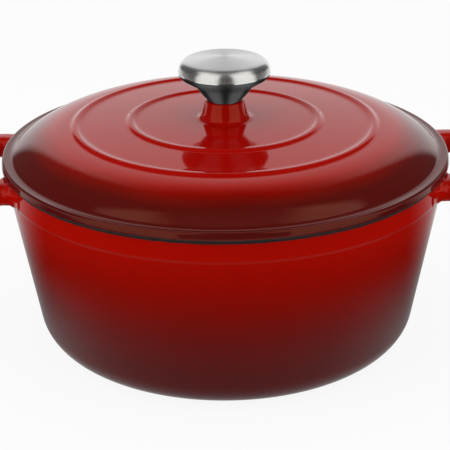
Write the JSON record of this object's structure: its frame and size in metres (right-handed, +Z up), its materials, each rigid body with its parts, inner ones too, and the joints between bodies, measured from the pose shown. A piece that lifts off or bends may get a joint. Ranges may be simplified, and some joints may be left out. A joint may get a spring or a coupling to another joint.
{
  "type": "dutch oven",
  "caption": "Round enamelled cast iron dutch oven with loop handles and a domed lid that lifts off by its stainless steel knob.",
  "frame": {"origin": "centre of the base, at the plane that the pot stands on", "axes": "+Z up along the axis of the pot and the lift of the lid, +X from one loop handle to the other"},
  "size_m": [0.35, 0.28, 0.1822],
  "materials": {
    "red_enamel": "gloss enamel, red to maroon",
    "satin_steel": "satin",
    "polished_steel": "polished",
    "brushed_steel": "turned",
    "gasket": "matt",
    "zinc_steel": "zinc plated"
  },
  "bodies": {
    "pot_body": {"pot": "red_enamel"},
    "lid_body": {"lid": "red_enamel", "knob_neck": "brushed_steel", "knob_bowl": "polished_steel", "knob_cap": "satin_steel", "knob_gasket": "gasket", "knob_screw": "zinc_steel", "spring_washer": "zinc_steel", "flat_washer": "zinc_steel"}
  },
  "joints": [
    {"name": "lid_lift", "type": "slide", "parent": "pot_body", "child": "lid_body", "axis": [0, 0, 1], "range_m": [0, 0.2]}
  ]
}
